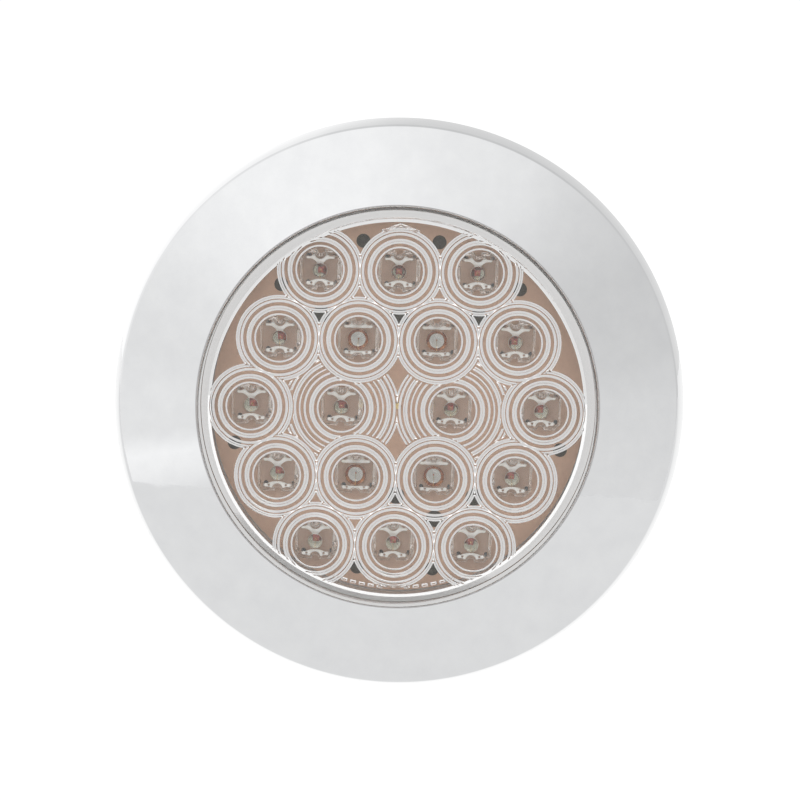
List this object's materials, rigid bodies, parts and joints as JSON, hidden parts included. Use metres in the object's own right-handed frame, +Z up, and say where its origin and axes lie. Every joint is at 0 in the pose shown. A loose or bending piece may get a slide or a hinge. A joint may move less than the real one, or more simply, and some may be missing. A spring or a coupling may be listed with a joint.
{
  "type": "trailer tail light",
  "caption": "Round LED tail light with a clear bull's-eye lens on a screwed, gasketed flange, a twist-off chrome trim bezel and a pin socket in the back.",
  "frame": {"origin": "centre of the panel plane that the gasket seats on, on the lamp's axis", "axes": "the lens faces -Y, the back of the lamp +Y, +Z is up as the lamp is fitted, +X is to the right seen from the front"},
  "size_m": [0.1494, 0.0346, 0.1494],
  "materials": {
    "gasket_rubber": "matte",
    "housing_plastic": "satin",
    "chrome_trim": "polished",
    "screw_steel": "satin",
    "clear_lens": "gloss",
    "board_tan": "satin",
    "potting_black": "gloss",
    "chip_black": "matte",
    "contact_brass": "satin",
    "die_red": "gloss",
    "bond_gold": "polished",
    "clear_epoxy": "gloss",
    "led_silver": "satin"
  },
  "bodies": {
    "lamp": {"gasket": "gasket_rubber", "base_housing": "housing_plastic", "panel_screws": "screw_steel", "lens": "clear_lens", "circuit_board": "board_tan", "potting": "potting_black", "resistors": "chip_black", "diodes": "chip_black", "pin_ground": "contact_brass", "pin_tail": "contact_brass", "pin_stop": "contact_brass", "led_dies": "die_red", "led_bond_wires": "bond_gold", "led_body_01": "clear_epoxy", "led_frame_01": "led_silver", "led_body_02": "clear_epoxy", "led_frame_02": "led_silver", "led_body_03": "clear_epoxy", "led_frame_03": "led_silver", "led_body_04": "clear_epoxy", "led_frame_04": "led_silver", "led_body_05": "clear_epoxy", "led_frame_05": "led_silver", "led_body_06": "clear_epoxy", "led_frame_06": "led_silver", "led_body_07": "clear_epoxy", "led_frame_07": "led_silver", "led_body_08": "clear_epoxy", "led_frame_08": "led_silver", "led_body_09": "clear_epoxy", "led_frame_09": "led_silver", "led_body_10": "clear_epoxy", "led_frame_10": "led_silver", "led_body_11": "clear_epoxy", "led_frame_11": "led_silver", "led_body_12": "clear_epoxy", "led_frame_12": "led_silver", "led_body_13": "clear_epoxy", "led_frame_13": "led_silver", "led_body_14": "clear_epoxy", "led_frame_14": "led_silver", "led_body_15": "clear_epoxy", "led_frame_15": "led_silver", "led_body_16": "clear_epoxy", "led_frame_16": "led_silver", "led_body_17": "clear_epoxy", "led_frame_17": "led_silver", "led_body_18": "clear_epoxy", "led_frame_18": "led_silver"},
    "bezel": {"chrome_bezel": "chrome_trim"}
  },
  "joints": [
    {"name": "bezel_twist", "type": "hinge", "parent": "lamp", "child": "bezel", "pos_m": [0, -0.008, 0], "axis": [0, -1, 0], "range_deg": [0, 26]}
  ]
}
